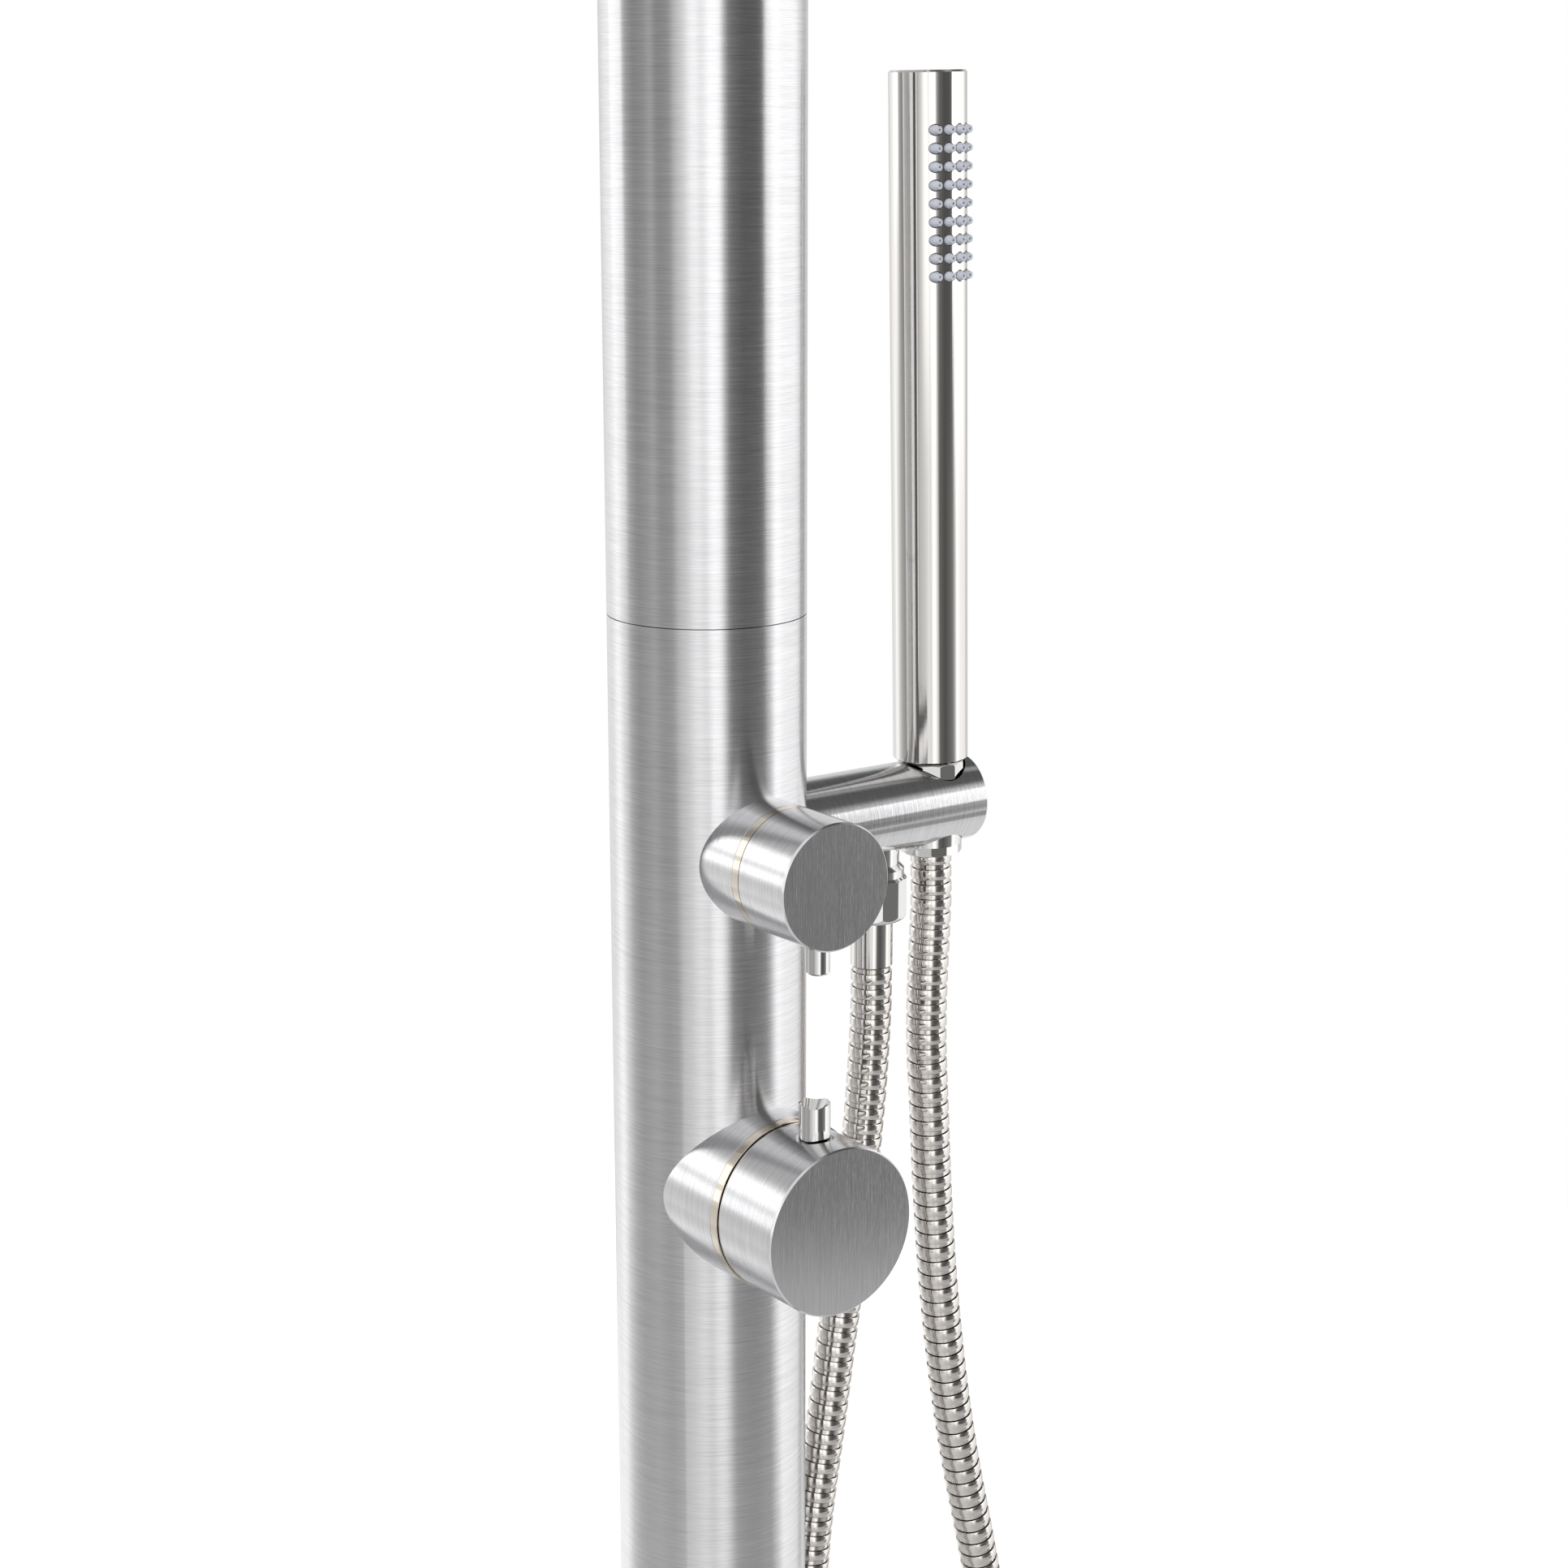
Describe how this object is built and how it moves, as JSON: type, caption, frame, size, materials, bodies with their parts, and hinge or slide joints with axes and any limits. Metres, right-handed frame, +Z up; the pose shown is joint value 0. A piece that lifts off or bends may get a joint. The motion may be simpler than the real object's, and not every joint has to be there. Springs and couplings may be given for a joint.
{
  "type": "outdoor shower post",
  "caption": "Free-standing outdoor shower post with mixer and diverter knobs, a holder arm with hand shower on a metal hose, and an overhead shower head.",
  "frame": {"origin": "centre of the floor plate's underside, on the ground", "axes": "+Z up the post, -Y to the front where the knobs face, +X along the holder arm"},
  "size_m": [0.2745, 0.565, 2.15],
  "materials": {
    "brushed_steel": "stainless steel, fine brushed grain",
    "polished_steel": "polished stainless steel",
    "brass": "turned brass",
    "rubber_seal": "smooth black rubber",
    "silicone": "matt grey silicone",
    "cartridge_plastic": "moulded plastic"
  },
  "bodies": {
    "root": {"base_plate": "brushed_steel", "base_collar": "brushed_steel", "collar_screws": "polished_steel", "lower_column": "brushed_steel", "upper_column": "brushed_steel", "column_sleeve": "brushed_steel", "sleeve_screws": "polished_steel", "column_cap": "brushed_steel", "mixer_boss": "brushed_steel", "mixer_body": "brass", "mixer_cartridge": "cartridge_plastic", "mixer_nut": "brass", "mixer_ring": "polished_steel", "diverter_boss": "brushed_steel", "diverter_body": "brass", "diverter_cartridge": "cartridge_plastic", "diverter_nut": "brass", "diverter_ring": "polished_steel", "cold_inlet": "brass", "hot_inlet": "brass", "cold_pipe": "polished_steel", "hot_pipe": "polished_steel", "link_pipe": "polished_steel", "riser_pipe": "polished_steel", "riser_elbow": "brass", "holder_arm": "brushed_steel", "outlet_nipple": "brass", "outlet_washer": "rubber_seal", "union_nut": "polished_steel", "outlet_ferrule": "polished_steel", "shower_hose": "polished_steel", "overhead_arm": "brushed_steel", "arm_collar": "polished_steel", "ball_nipple": "polished_steel"},
    "mixer_handle": {"mixer_spindle": "brass", "mixer_knob": "brushed_steel", "mixer_pin": "polished_steel"},
    "diverter_handle": {"diverter_spindle": "brass", "diverter_knob": "brushed_steel", "diverter_pin": "polished_steel"},
    "hose_end": {"nut_ferrule": "polished_steel"},
    "handset": {"cone_nut": "polished_steel", "cone_washer": "rubber_seal", "handset_connector": "brass", "handset_tube": "polished_steel", "handset_cap": "polished_steel", "handset_nozzles": "silicone"},
    "ball_seat": {"ball_seal": "rubber_seal"},
    "shower_head": {"ball_nut": "polished_steel", "head_shell": "brushed_steel", "head_gasket": "rubber_seal", "head_plate": "polished_steel", "head_nozzles": "silicone"}
  },
  "joints": [
    {"name": "mixer_turn", "type": "hinge", "parent": "root", "child": "mixer_handle", "pos_m": [0, -0.05, 0.995], "axis": [0, -1, 0], "range_deg": [0, 110]},
    {"name": "diverter_turn", "type": "hinge", "parent": "root", "child": "diverter_handle", "pos_m": [0, -0.05, 1.1], "axis": [0, -1, 0], "range_deg": [0, 90]},
    {"name": "handset_lift", "type": "slide", "parent": "root", "child": "hose_end", "axis": [-0.0209, 0, 0.9998], "range_m": [0, 0.04]},
    {"name": "handset_swivel", "type": "hinge", "parent": "hose_end", "child": "handset", "pos_m": [0.0872, 0, 1.1], "axis": [-0.0209, 0, 0.9998], "continuous": true},
    {"name": "head_tilt", "type": "hinge", "parent": "root", "child": "ball_seat", "pos_m": [0, -0.35, 1.994], "axis": [1, 0, 0], "range_deg": [-15, 15]},
    {"name": "head_spin", "type": "hinge", "parent": "ball_seat", "child": "shower_head", "pos_m": [0, -0.35, 1.994], "axis": [0, 0, 1], "continuous": true}
  ]
}
